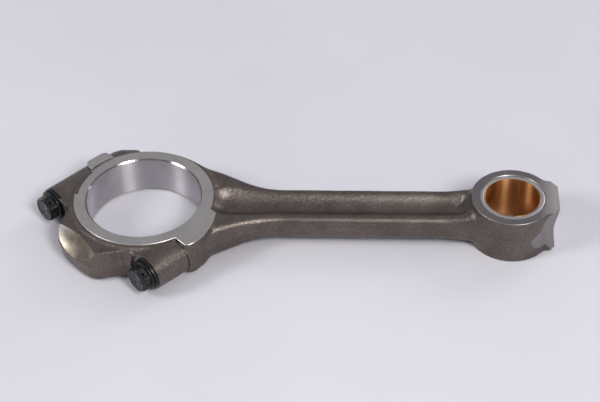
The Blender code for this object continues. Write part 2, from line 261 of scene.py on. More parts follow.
def outline_distance(px, py, outline):
    """Distance to a closed outline in the rod's plane, negative inside it."""
    nearest = np.full(np.broadcast(px, py).shape, 1.0e6, np.float32)
    inside = np.zeros(nearest.shape, bool)
    for (x0, y0), (x1, y1) in zip(outline, outline[1:] + outline[:1]):
        ex, ey = x1 - x0, y1 - y0
        share = np.clip(((px - x0) * ex + (py - y0) * ey) / (ex * ex + ey * ey), 0.0, 1.0)
        nearest = np.minimum(nearest, np.hypot(px - x0 - share * ex, py - y0 - share * ey))
        if y0 != y1:
            inside ^= ((y0 > py) != (y1 > py)) & (px < (x1 - x0) * (py - y0) / (y1 - y0) + x0)
    return np.where(inside, -nearest, nearest)


def rounded(a, b, radius):
    """Meeting of two walls with a rounded edge."""
    a = a + radius
    b = b + radius
    return np.hypot(np.maximum(a, 0.0), np.maximum(b, 0.0)) + np.minimum(np.maximum(a, b), 0.0) - radius


def blend(a, b, reach):
    """Union of two bodies with a fillet of about that reach between them."""
    overlap = np.maximum(reach - np.abs(a - b), 0.0)
    return np.minimum(a, b) - overlap * overlap / (4.0 * reach)


def carve(a, b, reach):
    """Body a with body b taken away and the rim rounded."""
    return -blend(-a, b, reach)


def shank_half_width(x):
    """Half of the shank's width, flaring towards the hub and necking into the eye."""
    slope, radius, end = math.radians(25.2), 75.0, 102.5
    neck_start, neck_length, neck_radius = CENTRE_DISTANCE - 30.2, 10.0, 15.0
    arc_start = end - radius * math.sin(slope)
    reach = np.clip(end - x, 0.0, end - arc_start)
    width = SHANK_WIDTH + radius - np.sqrt(radius**2 - reach**2)
    width = width + np.maximum(arc_start - x, 0.0) * math.tan(slope)
    neck = np.clip(x - neck_start, 0.0, neck_length)
    return width + neck_radius - np.sqrt(neck_radius**2 - neck**2)


def shank_half_depth(x):
    """Half of the shank's depth, growing into both ends."""
    at_big_end = 2.9 * (1.0 - smooth_step(x, 52.0, 92.0))
    at_small_end = 2.6 * smooth_step(x, 216.0, 244.0)
    return SHANK_DEPTH + at_big_end + at_small_end


def channel_outline():
    """Outline of the channel's mouth: spoon-shaped at the big end, square with round corners at the other."""
    bowl_centre, bowl_length, bowl_half = 62.0, 15.0, 13.6
    taper_length, taper_depth = 36.0, 3.7
    corner_centre, corner_radius = (228.5, 4.4), 5.5
    upper = []
    for i in range(13):
        angle = math.radians(90.0 * i / 12.0)
        upper.append((bowl_centre - bowl_length * math.cos(angle), bowl_half * math.sin(angle)))
    for i in range(1, 10):
        share = i / 9.0
        narrowing = taper_depth * share * share * (3.0 - 2.0 * share)
        upper.append((bowl_centre + taper_length * share, bowl_half - narrowing))
    upper += arc(corner_centre, corner_radius, 90.0, 0.0, 8)
    return upper + [(x, -y) for x, y in reversed(upper[1:])]


# Outlines of the cap's crown and of the lands beside the joint, as distances along and across the bolts.
CROWN_FLANK = [
    (-30.0, 38.5), (-41.0, 35.0), (-46.0, 32.3), (-55.0, 26.5), (-60.5, 23.0), (-63.3, 20.6), (-65.2, 16.5),
]
CROWN = CROWN_FLANK + [(w * w / 175.0 - 66.8, w) for w in (11.0, 5.5, 0.0, -5.5, -11.0)]
CROWN += [(s, -w) for s, w in reversed(CROWN_FLANK)]
NEAR_LAND = [
    (-11.0, 42.0), (-11.0, 59.5), (-8.5, 62.0), (-4.0, 62.8), (5.0, 61.6),
    (14.0, 58.2), (20.0, 54.5), (26.5, 49.5), (26.5, 36.0),
]
FAR_LAND = [
    (-9.4, 42.0), (-9.1, 53.0), (-8.3, 56.7), (-6.8, 58.6), (-5.0, 59.3),
    (7.4, 59.3), (10.1, 57.8), (11.1, 54.6), (11.0, 42.0),
]

# Outline of the boss beyond the eye, from the eye's centre.
BOSS = [(5.0, -18.0), (28.5, -17.5), (33.0, -12.5), (33.0, 11.5), (28.0, 17.5), (5.0, 18.0)]


def on_bolts(body, along, across, z):
    """Body with a thread boss on the rod's side and a column on the cap's side of each bolt's axis."""
    near_boss, near_boss_end, far_boss_end, boss_start = 12.5, 31.5, 39.0, 4.0
    stations, radii = [19.0, 25.0, 33.0, 37.0, 39.5], [11.6, 10.3, 6.3, 4.1, 0.5]
    web_start, web_half = 30.0, 11.8
    depth = np.abs(z)
    for side in (NEAR, FAR):
        offset, seat = BOLT_OFFSET[side], SEAT[side]
        reach = np.hypot(across - side * offset, z)
        if side == NEAR:
            ends = np.maximum(along - near_boss_end, boss_start - along)
            thread_boss = rounded(reach - near_boss, ends, 6.5)
        else:
            ends = np.maximum(along - far_boss_end, boss_start - along)
            nose = np.interp(along, stations, radii).astype(np.float32)
            thread_boss = np.maximum(0.86 * (reach - nose), ends)
        body = blend(body, thread_boss, 4.0)
        draft = COLUMN[side] + 0.5 * np.clip(along / seat, -1.0, 0.0)
        column = rounded(reach - draft, np.maximum(-seat - SEAT_STOCK - along, along + 4.0), 0.5)
        web = np.maximum(web_start - side * across, side * across - offset)
        web = np.maximum(web, np.maximum(-seat - SEAT_STOCK - along, along))
        column = blend(column, rounded(web, depth - web_half, 1.0), 3.0)
        body = blend(body, column, 3.5)
    return body


def small_end(x, y, depth):
    """The eye with the boss beyond it, left deeper than the finished end."""
    eye = rounded(np.hypot(x - CENTRE_DISTANCE, y) - EYE, depth - EYE_BLANK_HALF, 0.4)
    boss_flat = outline_distance(x, y, [(CENTRE_DISTANCE + a, b) for a, b in BOSS])
    boss = rounded(boss_flat, depth - EYE_BLANK_HALF, 1.2)
    return blend(eye, boss, 2.0)


def forging():
    """The whole forging, rod and cap together, before machining.

    The last number in rounded, blend and carve is the radius or the reach of the edge or fillet. A
    factor just below 1 keeps a sloping wall's field close to the true distance.
    """
    shank_start, shank_end, shank_edge = 24.0, 258.0, 5.6
    land_growth, land_slope, crown_slope, channel_slope = 0.25, 0.03, 0.115, 0.95
    low = FORGING_LOW
    lines = [np.arange(a, b + GRID_STEP, GRID_STEP, dtype=np.float32) for a, b in zip(low, FORGING_HIGH)]
    x, y, z = lines[0][:, None, None], lines[1][None, :, None], lines[2][None, None, :]
    depth = np.abs(z)
    flat = np.hypot(x, y)
    along, across = DIAGONAL * (x + y), DIAGONAL * (x - y)

    body = rounded(flat - HUB, depth - HUB_HALF, 1.6)

    width, thick = shank_half_width(x), shank_half_depth(x)
    shank = rounded(np.abs(y) - width, depth - thick, shank_edge)
    shank = np.maximum(shank * 0.93, np.maximum(shank_start - x, x - shank_end))
    body = blend(body, shank, 5.0)

    body = blend(body, small_end(x, y, depth), 6.0)
    body = on_bolts(body, along, across, z)

    land_flat = outline_distance(x, y, [plan(s, w) for s, w in NEAR_LAND])
    land_draft = land_flat - land_growth + land_slope * (BIG_HALF - z)
    land = rounded(land_draft, np.maximum(z - LAND_TOP, LAND_BOTTOM - z), 1.2)
    body = blend(body, land, 2.0)

    crown_flat = outline_distance(x, y, [plan(s, w) for s, w in CROWN])
    crown = rounded(crown_flat + crown_slope * depth, depth - CROWN_HALF, 1.0)
    body = blend(body, crown, 3.0)

    mouth = outline_distance(x, y, channel_outline())
    trough = rounded(mouth - 1.2 + channel_slope * np.maximum(thick - depth, 0.0), WEB - depth, 5.0)
    body = carve(body, trough * 0.75, 2.4)

    body = np.maximum(body, depth - np.where(x < BIG_SKIN_END, BIG_SKIN_LIMIT, FORGING_HIGH[2]))
    body = body - PARTING_RIDGE * np.exp(-(z / PARTING_HALF_WIDTH)**2)
    ripple = np.sin(x / 6.1 + 0.7) * np.sin(y / 5.3 + 1.9) + np.sin(x / 3.7 + y / 4.9) * np.sin(z / 3.1 + 0.4)
    return surface_net(body + RIPPLE * ripple, low)


def surface_net(field, low):
    """Closed mesh of quads on the zero level of a distance field, kept within the CAD model's sides."""
    field = field.astype(np.float32)
    inside = field < 0.0
    cells = tuple(n - 1 for n in field.shape)
    total = np.zeros(cells + (3,), np.float32)
    count = np.zeros(cells, np.float32)
    crossings = []
    for axis in range(3):
        first = [slice(None)] * 3
        second = [slice(None)] * 3
        first[axis], second[axis] = slice(0, -1), slice(1, None)
        a, b = field[tuple(first)], field[tuple(second)]
        index = np.argwhere(inside[tuple(first)] != inside[tuple(second)])
        at = tuple(index.T)
        spot = index.astype(np.float32)
        spot[:, axis] += a[at] / (a[at] - b[at])
        crossings.append((index, inside[tuple(first)][at]))
        others = [k for k in range(3) if k != axis]
        for p in (0, 1):
            for q in (0, 1):
                cell = index.copy()
                cell[:, others[0]] -= p
                cell[:, others[1]] -= q
                where = tuple(cell.T)
                np.add.at(total, where, spot)
                np.add.at(count, where, 1.0)
    used = count > 0
    number = np.full(cells, -1, np.int64)
    number[used] = np.arange(int(used.sum()))
    points = total[used] / count[used][:, None] * GRID_STEP + np.array(low, np.float32)
    quads = []
    for axis, (index, starts_inside) in enumerate(crossings):
        u, v = (axis + 1) % 3, (axis + 2) % 3
        corner = []
        for du, dv in ((1, 1), (0, 1), (0, 0), (1, 0)):
            cell = index.copy()
            cell[:, u] -= du
            cell[:, v] -= dv
            corner.append(number[tuple(cell.T)])
        quad = np.stack(corner, 1)
        quad[~starts_inside] = quad[~starts_inside][:, ::-1]
        quads.append(quad)
    quads = np.concatenate(quads)
    for axis in range(2):
        lowest, highest = ((corner[axis] - ORIGIN[axis]) / MM for corner in cad_box)
        points[:, axis] = np.clip(points[:, axis], lowest + 0.01, highest - 0.01)
    return quad_object("forging", points, quads)


def quad_object(name, points, quads):
    """Object from arrays of points and quads, built faster than through lists."""
    mesh = bpy.data.meshes.new(name)
    mesh.vertices.add(len(points))
    mesh.vertices.foreach_set("co", points.astype(np.float32).ravel())
    mesh.loops.add(quads.size)
    mesh.loops.foreach_set("vertex_index", quads.ravel().astype(np.int32))
    mesh.polygons.add(len(quads))
    mesh.polygons.foreach_set("loop_start", np.arange(0, quads.size, 4, dtype=np.int32))
    mesh.update(calc_edges=True)
    mesh.validate()
    made = bpy.data.objects.new(name, mesh)
    bpy.context.scene.collection.objects.link(made)
    return made


# ---------------------------------------------------------------- materials

# Sockets of the mix node that serve colours: factor, first and second colour, and result.
MIX_FACTOR, MIX_FIRST, MIX_SECOND, MIX_RESULT = 0, 6, 7, 2
TOOL_MARKS = [(0.3, (0.8, 0.8, 0.8)), (0.7, (1.1, 1.1, 1.1))]
DEEP_TOOL_MARKS = [(0.3, (0.7, 0.7, 0.7)), (0.7, (1.1, 1.1, 1.1))]
BORE_STRETCH = 0.97


def nodes_of(name):
    """New material with its node tree, its shader and the place on the object in metres."""
    made = bpy.data.materials.new(name)
    made.use_nodes = True
    tree = made.node_tree
    shader = tree.nodes["Principled BSDF"]
    place = tree.nodes.new("ShaderNodeTexCoord").outputs["Object"]
    return made, tree, shader, place


def noise(tree, place, scale, detail=3.0, stretch=(1.0, 1.0, 1.0), rough=0.55):
    """Noise at a scale in features per metre, stretched along the axes."""
    mapping = tree.nodes.new("ShaderNodeMapping")
    mapping.inputs["Scale"].default_value = stretch
    tree.links.new(place, mapping.inputs["Vector"])
    node = tree.nodes.new("ShaderNodeTexNoise")
    node.inputs["Scale"].default_value = scale
    node.inputs["Detail"].default_value = detail
    node.inputs["Roughness"].default_value = rough
    tree.links.new(mapping.outputs["Vector"], node.inputs["Vector"])
    return node.outputs["Fac"]


def ramp(tree, source, stops):
    """Colour ramp through (position, grey or colour) stops."""
    node = tree.nodes.new("ShaderNodeValToRGB")
    elements = node.color_ramp.elements
    while len(elements) < len(stops):
        elements.new(0.5)
    for element, (position, value) in zip(elements, stops):
        element.position = position
        element.color = (value, value, value, 1.0) if isinstance(value, float) else (*value, 1.0)
    tree.links.new(source, node.inputs["Fac"])
    return node.outputs["Color"]


def mix(tree, kind, share, first, second):
    """Mix of two colours, each a colour or an output."""
    node = tree.nodes.new("ShaderNodeMix")
    node.data_type = "RGBA"
    node.blend_type = kind
    for socket, value in ((MIX_FACTOR, share), (MIX_FIRST, first), (MIX_SECOND, second)):
        if isinstance(value, bpy.types.NodeSocket):
            tree.links.new(value, node.inputs[socket])
        else:
            node.inputs[socket].default_value = value if socket == MIX_FACTOR else (*value, 1.0)
    return node.outputs[MIX_RESULT]


def bump(tree, shader, sources):
    """Chain of bumps from (height, strength, distance in metres)."""
    normal = None
    for height, strength, distance in sources:
        node = tree.nodes.new("ShaderNodeBump")
        node.inputs["Strength"].default_value = strength
        node.inputs["Distance"].default_value = distance
        tree.links.new(height, node.inputs["Height"])
        if normal:
            tree.links.new(normal, node.inputs["Normal"])
        normal = node.outputs["Normal"]
    tree.links.new(normal, shader.inputs["Normal"])


def fade(tree, place, turn, start, end):
    """0 before start and 1 after end, in millimetres along a direction in the rod's plane."""
    per_metre = 1.0 / ((end - start) * MM)
    origin = ORIGIN.x * math.cos(turn) - ORIGIN.y * math.sin(turn)
    slide = tree.nodes.new("ShaderNodeMapping")
    slide.inputs["Scale"].default_value = (per_metre, per_metre, per_metre)
    slide.inputs["Rotation"].default_value = (0.0, 0.0, turn)
    slide.inputs["Location"].default_value = (-(origin + start * MM) * per_metre, 0.0, 0.0)
    tree.links.new(place, slide.inputs["Vector"])
    gradient = tree.nodes.new("ShaderNodeTexGradient")
    tree.links.new(slide.outputs["Vector"], gradient.inputs["Vector"])
    return gradient.outputs["Fac"]


def worn_edges(tree, low, high):
    """White along convex edges, black elsewhere."""
    pointiness = tree.nodes.new("ShaderNodeNewGeometry").outputs["Pointiness"]
    return ramp(tree, pointiness, [(low, 0.0), (high, 1.0)])


def painted_parting_highlight(tree, place):
    """Broken painted highlight along the line where the two halves of the forging die met."""
    split = tree.nodes.new("ShaderNodeSeparateXYZ")
    tree.links.new(place, split.inputs["Vector"])
    middle, inner, outer = ORIGIN.z, 0.0003, 0.0007
    stops = [(middle - outer, 0.0), (middle - inner, 1.0), (middle + inner, 1.0), (middle + outer, 0.0)]
    line = ramp(tree, split.outputs["Z"], stops)
    gaps = ramp(tree, noise(tree, place, 38.0, 3.0), [(0.46, 0.0), (0.62, 0.8)])
    return mix(tree, "MULTIPLY", 1.0, line, gaps)


def forged_steel():
    """Shot-peened forging skin, brown-grey, with worn edges and a painted highlight along the parting line.
    """
    made, tree, shader, place = nodes_of("forged_steel")
    brown = [(0.35, (0.125, 0.105, 0.094)), (0.65, (0.172, 0.147, 0.133))]
    speckle = [(0.35, (0.74, 0.74, 0.74)), (0.7, (1.24, 1.21, 1.19))]
    stain = ramp(tree, noise(tree, place, 55.0, 4.0), brown)
    grain = ramp(tree, noise(tree, place, 900.0, 2.0), speckle)
    colour = mix(tree, "MULTIPLY", 1.0, stain, grain)
    colour = mix(tree, "MIX", worn_edges(tree, 0.53, 0.60), colour, (0.42, 0.37, 0.33))
    # Painted highlight: a lighter broken line along the parting line, where the small forged ridge would
    # catch the light.
    colour = mix(tree, "MIX", painted_parting_highlight(tree, place), colour, (0.34, 0.31, 0.29))
    tree.links.new(colour, shader.inputs["Base Color"])
    shader.inputs["Metallic"].default_value = 0.85
    gloss = ramp(tree, noise(tree, place, 400.0, 3.0), [(0.3, 0.29), (0.7, 0.43)])
    tree.links.new(gloss, shader.inputs["Roughness"])
    pits, waves = noise(tree, place, 1100.0, 2.0), noise(tree, place, 260.0, 3.0)
    bump(tree, shader, [(pits, 0.8, 0.0003), (waves, 0.30, 0.0005)])
    return made


def brushed_round(tree, shader):
    """Stretch reflections along Z, as the rings of tool marks in a bore do."""
    upward = tree.nodes.new("ShaderNodeCombineXYZ")
    upward.inputs["Z"].default_value = 1.0
    tree.links.new(upward.outputs["Vector"], shader.inputs["Tangent"])
    shader.inputs["Anisotropic"].default_value = BORE_STRETCH


def ground_steel(name, colour, rough, stretch, strength=0.2, bored=False, painted_sheen_span=None):
    """Machined steel with fine tool marks. Given two distances along the rod, it lightens between them with a
    painted sheen: the bright reflection that a faced end shows on one side.
    """
    made, tree, shader, place = nodes_of(name)
    marks = noise(tree, place, 1.0, 4.0, stretch, 0.7)
    cloud = noise(tree, place, 45.0, 4.0)
    dark = tuple(c * 0.86 for c in colour)
    base = mix(tree, "MIX", ramp(tree, cloud, [(0.35, 0.0), (0.7, 1.0)]), dark, colour)
    if painted_sheen_span:
        # Painted sheen: the colour lightens along the rod in place of the bright reflection on that side of
        # the face.
        light = tuple(min(c * 2.2, 0.8) for c in colour)
        base = mix(tree, "MIX", fade(tree, place, 0.0, *painted_sheen_span), base, light)
    depth = 0.2 if bored else 0.5
    base = mix(tree, "MULTIPLY", depth, base, ramp(tree, marks, TOOL_MARKS))
    tree.links.new(base, shader.inputs["Base Color"])
    shader.inputs["Metallic"].default_value = 0.95
    tree.links.new(ramp(tree, marks, [(0.3, rough - 0.06), (0.7, rough + 0.08)]), shader.inputs["Roughness"])
    bump(tree, shader, [(marks, strength, 0.00005), (cloud, 0.05, 0.0002)])
    if bored:
        brushed_round(tree, shader)
    return made


def scooped_steel():
    """Coarsely ground face: pale towards one end with a painted reflection of the window, brown with smudges
    and darker towards the other.
    """
    made, tree, shader, place = nodes_of("scooped_steel")
    marks = noise(tree, place, 1.0, 4.0, (260.0, 260.0, 1600.0), 0.7)
    smudge = noise(tree, place, 60.0, 4.0)
    # Painted reflection: the pale end stands in for the window mirrored in the hollow face.
    painted_window_glare = ramp(tree, smudge, [(0.38, (0.74, 0.71, 0.66)), (0.66, (0.36, 0.32, 0.26))])
    brown = ramp(tree, smudge, [(0.36, (0.30, 0.26, 0.21)), (0.62, (0.13, 0.10, 0.075))])
    base = mix(tree, "MIX", fade(tree, place, math.radians(45.0), -19.0, -7.0), painted_window_glare, brown)
    base = mix(tree, "MULTIPLY", 0.6, base, ramp(tree, marks, DEEP_TOOL_MARKS))
    tree.links.new(base, shader.inputs["Base Color"])
    shader.inputs["Metallic"].default_value = 0.9
    tree.links.new(ramp(tree, marks, [(0.3, 0.28), (0.7, 0.45)]), shader.inputs["Roughness"])
    bump(tree, shader, [(marks, 0.3, 0.0001)])
    return made


def bronze():
    """Finely bored bearing bronze."""
    made, tree, shader, place = nodes_of("bearing_bronze")
    marks = noise(tree, place, 1.0, 3.0, (40.0, 40.0, 2600.0), 0.6)
    cloud = noise(tree, place, 70.0, 3.0)
    base = ramp(tree, cloud, [(0.3, (0.50, 0.235, 0.088)), (0.7, (0.60, 0.30, 0.125))])
    base = mix(tree, "MULTIPLY", 0.2, base, ramp(tree, marks, TOOL_MARKS))
    tree.links.new(base, shader.inputs["Base Color"])
    shader.inputs["Metallic"].default_value = 1.0
    tree.links.new(ramp(tree, marks, [(0.3, 0.31), (0.7, 0.36)]), shader.inputs["Roughness"])
    bump(tree, shader, [(marks, 0.02, 0.00002)])
    brushed_round(tree, shader)
    return made


def black_oxide(name, wear=1.0):
    """Blackened steel, lighter where it is worn."""
    made, tree, shader, place = nodes_of(name)
    grain = noise(tree, place, 700.0, 3.0)
    dark, light = (tuple(c * wear for c in grey) for grey in ((0.011, 0.011, 0.012), (0.030, 0.029, 0.031)))
    base = ramp(tree, grain, [(0.3, dark), (0.7, light)])
    tree.links.new(base, shader.inputs["Base Color"])
    shader.inputs["Metallic"].default_value = 0.6
    gloss = ramp(tree, noise(tree, place, 260.0, 3.0), [(0.3, 0.22), (0.7, 0.38)])
    tree.links.new(gloss, shader.inputs["Roughness"])
    bump(tree, shader, [(grain, 0.2, 0.0001)])
    return made


FORGED = forged_steel()
GROUND = ground_steel("ground_steel", (0.58, 0.555, 0.54), 0.40, (2600.0, 120.0, 120.0))
BORED = ground_steel("bored_steel", (0.55, 0.53, 0.555), 0.36, (30.0, 30.0, 2400.0), 0.02, True)
FLANKED = ground_steel("flank_steel", (0.30, 0.285, 0.28), 0.38, (300.0, 300.0, 1500.0))
# Bore edge steel is a darker, glossier copy of the bored steel. Its darkness is painted shade for the dark
# rim round the big bore; the glints come from the lamps.
PAINTED_DARK_RIM = ground_steel("bore_edge_steel_painted_dark", (0.30, 0.28, 0.27), 0.15, (300.0, 300.0, 300.0), 0.05)
# The faced ends carry a painted sheen that lightens them towards the boss beyond the eye.
FACED = ground_steel("faced_steel", (0.26, 0.237, 0.235), 0.40, (1500.0, 1500.0, 200.0), painted_sheen_span=(284.0, 296.0))
SEATED = ground_steel("spot_faced_steel", (0.34, 0.31, 0.29), 0.36, (900.0, 900.0, 900.0))
SCOOPED = scooped_steel()
BUSH_STEEL = ground_steel("bush_steel", (0.60, 0.59, 0.585), 0.36, (900.0, 900.0, 900.0))
BRONZE = bronze()
BLACK = black_oxide("black_oxide_steel")
WASHER_BLACK = black_oxide("black_washer_steel")
WORN_BLACK = black_oxide("worn_head_steel", 1.8)


# ---------------------------------------------------------------- machined features

def repaint(item, look, upright):
    """Give a second look to the upright faces of an item, or to all its others."""
    item.data.materials.append(look)
    for face in item.data.polygons:
        if (abs(face.normal.z) < 0.3) == upright:
            face.material_index = 1
    return item


def forged_walls(item):
    """Leave the upright walls of a machined block as forged."""
    return repaint(item, FORGED, True)


def lands():
    """Flat lands beside the joint, with their chamfers, and the raised pad on the far one."""
    edge, pad_rise, relief = 0.25, 0.9, 0.3
    near = [plan(s, w) for s, w in NEAR_LAND]
    far = [plan(s, -w) for s, w in FAR_LAND]
    made = forged_walls(prism("near_land", near, 4.0, BIG_HALF, GROUND, edge))
    pad = forged_walls(prism("far_pad", far, 0.0, BIG_HALF + pad_rise, GROUND, edge))
    cut(pad, lathe("ring_sweep", [(RING, BIG_HALF - 0.02), (RING, BIG_HALF + 5.0)], BIG_STEPS, FORGED))
    return add(made, forged_walls(prism("far_land", far, -BIG_HALF, BIG_HALF - relief, GROUND, edge)), pad)


def thrust_ring():
    """Ground ring on both faces of the big end, narrowed above the far column of the cap."""
    edge, relieved_ring, start, end = 0.2, 48.4, 147.0, 177.4
    profile = [(RING - edge, -BIG_HALF), (RING, edge - BIG_HALF), (RING, BIG_HALF - edge)]
    profile.append((RING - edge, BIG_HALF))
    ring = lathe("thrust_ring", profile, BIG_STEPS, GROUND)
    outline = arc((0.0, 0.0), relieved_ring, start, end, 24) + arc((0.0, 0.0), HUB + 8.0, end, start, 24)
    return cut(ring, prism("ring_relief", outline, HUB_HALF - 1.0, BIG_HALF + 1.0, FORGED))


def bore(name, radius, half, chamfer, steps, edge_look):
    """Cutter for a chamfered bore through an end of the rod, about the big end's centre."""
    far = half + 10.0
    profile = [(radius + chamfer, -far), (radius + chamfer, -half), (radius, chamfer - half)]
    profile += [(r, -z) for r, z in reversed(profile)]
    return repaint(lathe(name, profile, steps, BORED), edge_look, False)


def to_small_end(item):
    return moved(item, Matrix.Translation((CENTRE_DISTANCE, 0.0, 0.0)))


def eye_facing(level):
    """Block that faces one side of the small end."""
    left, right, side = CENTRE_DISTANCE - 40.0, CENTRE_DISTANCE + 50.0, 45.0
    outline = [(left, -side), (right, -side), (right, side), (left, side)]
    low, high = sorted((level * SMALL_HALF, level * (SMALL_HALF + 8.0)))
    return prism("eye_facing", outline, low, high, FACED)


def eye_chamfer(level):
    """Chamfer round the free edge of the eye's face."""
    steps, start, sweep = 160, 42.0, 276.0
    above = SMALL_HALF + 0.15
    triangle = ((EYE - 0.4, above), (EYE + 2.0, above), (EYE + 2.0, SMALL_HALF - 2.25))
    sections = []
    for i in range(steps + 1):
        angle = math.radians(start + sweep * i / steps)
        cosine, sine = math.cos(angle), math.sin(angle)
        sections.append([(CENTRE_DISTANCE + r * cosine, r * sine, level * height) for r, height in triangle])
    return loft("eye_chamfer", sections, FACED)


def end_hollow():
    """Cutter that grinds the boss on the small end hollow, deeper below than above."""
    profile = [(19.0, 33.2), (17.0, 32.9), (14.5, 32.5), (12.0, 31.8), (9.0, 30.6), (6.0, 29.7), (2.0, 29.4)]
    profile += [(-2.0, 29.6), (-6.0, 30.1), (-12.0, 30.9), (-19.0, 31.8)]
    profile += [(-19.0, 45.0), (19.0, 45.0)]
    sections = [[(CENTRE_DISTANCE + x, y, z) for z, x in profile] for y in (-24.0, 24.0)]
    return loft("end_hollow", sections, GROUND)


def end_flank():
    """Shallow cutter for the ground patch beside the hollow, bounded by slanting edges."""
    path = arc((0.0, 0.0), EYE - 0.3, -64.3, -40.0, 20)
    path += [(23.6, -18.0), (25.0, -17.35), (28.1, -17.05), (30.3, -14.6), (32.5, -12.1), (34.0, -10.5)]
    upper = ([12.7, 16.1, 19.0, 22.1, 24.6, 27.9, 30.0], [-0.4, 2.0, 4.2, 11.6, 15.2, 17.6, 20.0])
    lower = ([12.7, 14.5, 17.0, 22.6, 24.1, 29.0, 33.0], [-1.2, -7.0, -10.5, -13.8, -11.2, -18.2, -20.0])
    sections = []
    for x, y in path:
        far_x, far_y = x + 8.0, y - 14.0
        low, high = float(np.interp(x, *lower)), float(np.interp(x, *upper))
        corners = ((x, y, low), (x, y, high), (far_x, far_y, high), (far_x, far_y, low))
        sections.append([(CENTRE_DISTANCE + a, b, c) for a, b, c in corners])
    return loft("end_flank", sections, FLANKED)


def spot_face(side):
    """Cutter that clears a bolt head and leaves a flat seat with a small corner radius."""
    profile = [(14.7, 0.0), (15.2, 0.15), (15.5, 0.8), (15.5, 50.0)]
    return moved(lathe("spot_face", profile, BOLT_STEPS, SEATED), bolt_frame(side, SEAT[side]))


def bolt_hole(side, low, high, radius):
    """Plain hole on one bolt's axis, between two distances outwards from the joint."""
    return moved(lathe("bolt_hole", [(radius, low), (radius, high)], 64, SEATED), bolt_frame(side))


def column_neck(side):
    """Groove between the joint's land and the column beside it."""
    profile = [(12.4, 11.3), (20.0, 11.3), (20.0, 12.5), (13.6, 13.3), (12.4, 12.5)]
    ring = lathe("column_neck", profile, 96, FORGED, hollow=True)
    return moved(ring, bolt_frame(side))


def scoop():
    """Round-rimmed wheel that grinds the hollow across the crown's upper edge."""
    radius, rim, steps = 75.0, 30.0, 32
    profile = []
    for i in range(steps + 1):
        offset = -20.0 + 40.0 * i / steps
        profile.append((radius + math.sqrt(rim**2 - offset**2) - rim, offset))
    wheel = lathe("scoop", profile, 400, SCOOPED)
    slope = math.radians(52.0)
    outward = Vector((*plan(-1.0, 0.0), 0.0))
    upward = Vector((0.0, 0.0, 1.0))
    across_chord = outward * math.sin(slope) + upward * math.cos(slope)
    down_chord = outward * math.cos(slope) - upward * math.sin(slope)
    lowest = Vector((*plan(-61.8, -3.0), 6.25)) - across_chord
    turn = down_chord.to_track_quat("Z", "Y").to_matrix().to_4x4()
    return moved(wheel, Matrix.Translation(lowest + across_chord * radius) @ turn)


def joint_half(offset, towards_cap):
    """Block on one side of the serrated joint."""
    reach = 75.0
    teeth = int(2 * reach / TOOTH_PITCH)
    edge = [
        plan(offset + TOOTH_HEIGHT * (i % 2 - 0.5), -reach + i * TOOTH_PITCH / 2.0)
        for i in range(2 * teeth + 1)
    ]
    beyond = 2.0 * CENTRE_DISTANCE
    limit = -beyond if towards_cap else beyond
    ends = [plan(offset, beyond), plan(limit, beyond), plan(limit, -beyond), plan(offset, -beyond)]
    return prism("joint_half", edge + ends, -40.0, 40.0, SEATED)


def finish_piece(item, body, node):
    """Place a piece in the frame, shade it, and let it stand for its CAD node."""
    weld, sliver, sharp = 0.004, 0.002, 32.0
    work = bmesh.new()
    work.from_mesh(item.data)
    bmesh.ops.remove_doubles(work, verts=work.verts, dist=weld)
    bmesh.ops.dissolve_degenerate(work, edges=work.edges, dist=sliver)
    work.to_mesh(item.data)
    work.free()
    item.data.transform(Matrix.Translation(ORIGIN) @ Matrix.Scale(MM, 4))
    item.data.shade_smooth()
    item.data.set_sharp_from_angle(angle=math.radians(sharp))
    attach(item, body)
    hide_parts(node)


def copy_of(item, name):
    made = item.copy()
    made.data = item.data.copy()
    made.name = name
    made.data.name = name
    bpy.context.scene.collection.objects.link(made)
    return made


def rod_and_cap():
    """Machine the forging, split it at the joint and drill both halves for the bolts."""
    whole = forging()
    whole.data.materials.append(FORGED)
    cut(whole, eye_facing(1.0), eye_facing(-1.0))
    cut(whole, eye_chamfer(1.0), eye_chamfer(-1.0))
    cut(whole, end_hollow(), end_flank())
    cut(whole, scoop())
    add(whole, lands())
    cut(whole, column_neck(NEAR))
    add(whole, thrust_ring())
    cut(whole, bore("big_bore", BIG_BORE, BIG_HALF, 1.0, BIG_STEPS, PAINTED_DARK_RIM))
    cut(whole, to_small_end(bore("eye_bore", EYE_BORE, SMALL_HALF, 0.4, EYE_STEPS, FACED)))
    cut(whole, spot_face(NEAR), spot_face(FAR))
    cap = copy_of(whole, "bearing_cap_forging")
    whole.name = "rod_forging"
    cut(whole, joint_half(JOINT_GAP / 2.0, True))
    cut(cap, joint_half(-JOINT_GAP / 2.0, False))
    tapped, clearance = 6.15, 6.4
    for side in (NEAR, FAR):
        cut(whole, bolt_hole(side, -25.0, 20.0, tapped))
        cut(cap, bolt_hole(side, -20.0, 60.0, clearance))
    finish_piece(whole, "rod", "rod_body")
    finish_piece(cap, "cap", "bearing_cap")


# ---------------------------------------------------------------- bush, washers and bolts

def bush_part(name, inner, outer, half, chamfer, look, node):
    """Finely turned tube with rounded chamfers at its ends."""
    bulge = 0.3 * chamfer
    profile = [(inner, chamfer - half), (inner + bulge, bulge - half), (inner + chamfer, -half)]
    profile += [(outer - chamfer, -half), (outer - bulge, bulge - half), (outer, chamfer - half)]
    profile += [(r, -z) for r, z in reversed(profile)]
    tube = to_small_end(lathe(name, profile, EYE_STEPS, look, hollow=True))
    finish_piece(tube, "rod", node)


def bush():
    """Steel backing pressed into the eye, and the bronze lining bonded inside it."""
    backing_bore, lining_outside = BUSH_BORE + LINING, BUSH_BORE + LINING - 0.02
    bush_part("bush_backing_turned", backing_bore, EYE_BORE - 0.3, SMALL_HALF - 0.4, 0.5,
              BUSH_STEEL, "small_end_bush_backing")
    bush_part("bush_lining_bored", BUSH_BORE, lining_outside, SMALL_HALF - 0.5, 0.15,
              BRONZE, "small_end_bush_lining")


